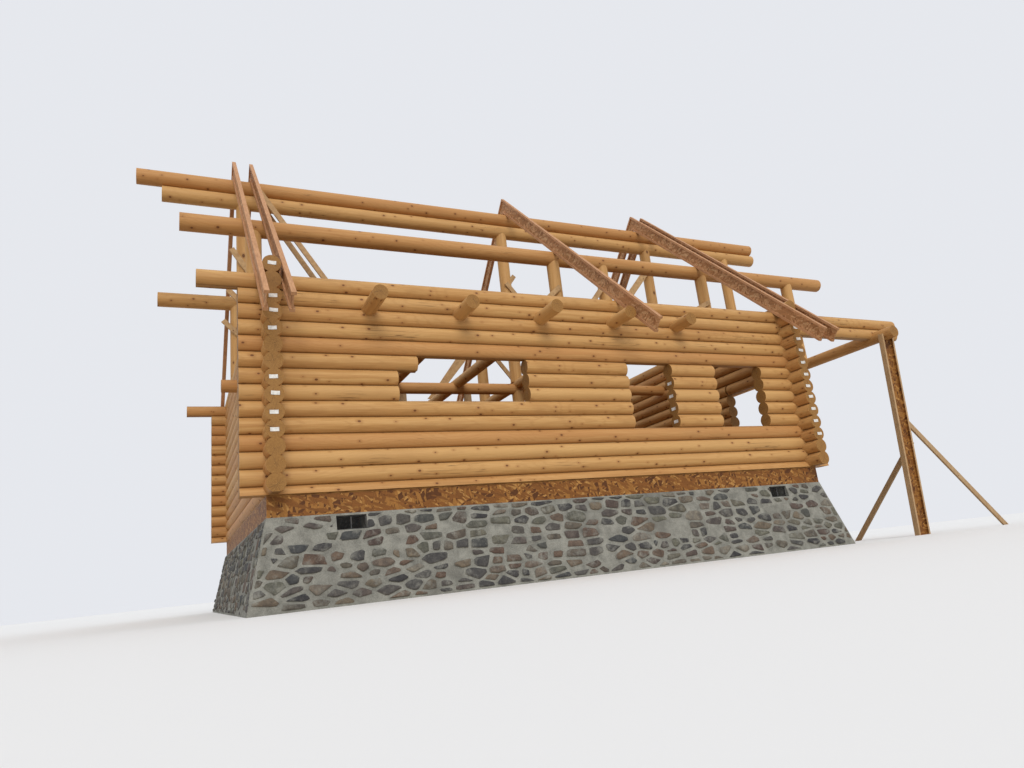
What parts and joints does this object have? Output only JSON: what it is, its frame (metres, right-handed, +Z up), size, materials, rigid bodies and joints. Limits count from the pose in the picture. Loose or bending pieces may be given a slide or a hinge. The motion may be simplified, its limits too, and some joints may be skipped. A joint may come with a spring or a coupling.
{
  "type": "log cabin shell under construction",
  "caption": "Shell of a milled round-log cabin on a battered stone foundation, with open roof frame, ridge and purlin logs, and log porch frame.",
  "frame": {"origin": "on the ground where the centre lines of the front wall and the left gable wall cross", "axes": "+X along the front wall towards the porch, +Y from the front wall to the back wall, +Z up"},
  "size_m": [15.2549, 8.8426, 7.7042],
  "materials": {
    "log": "milled, bare",
    "peeled_post": "peeled, bare",
    "board": "sawn",
    "joist": "laminated flanges and strand-board web",
    "rim_board": "strand board",
    "deck": "strand board",
    "stone": "fieldstone in mortar"
  },
  "bodies": {
    "root": {"back_plate_logs": "log", "back_purlin_braces": "board", "back_purlin_posts": "peeled_post", "back_wall": "log", "floor_deck": "deck", "floor_joists": "joist", "foundation_back": "stone", "foundation_front": "stone", "foundation_left": "stone", "foundation_right": "stone", "front_plate_logs": "log", "front_purlin_braces": "board", "front_purlin_posts": "peeled_post", "front_wall": "log", "girder": "log", "girder_post": "peeled_post", "girder_props": "board", "left_gable_wall": "log", "porch_braces_back": "board", "porch_braces_front": "board", "porch_log": "log", "porch_prop_back": "joist", "porch_prop_front": "joist", "purlin_back": "log", "purlin_front": "log", "rafters_back": "joist", "rafters_front": "joist", "ridge_braces": "board", "ridge_log_lower": "log", "ridge_log_upper": "log", "ridge_posts": "peeled_post", "right_gable_wall": "log", "rim_back": "rim_board", "rim_front": "rim_board", "rim_left": "rim_board", "rim_right": "rim_board", "tie_beam_1": "log", "tie_beam_2": "log", "tie_beam_3": "log", "tie_beam_4": "log", "tie_beam_5": "log"}
  },
  "joints": []
}
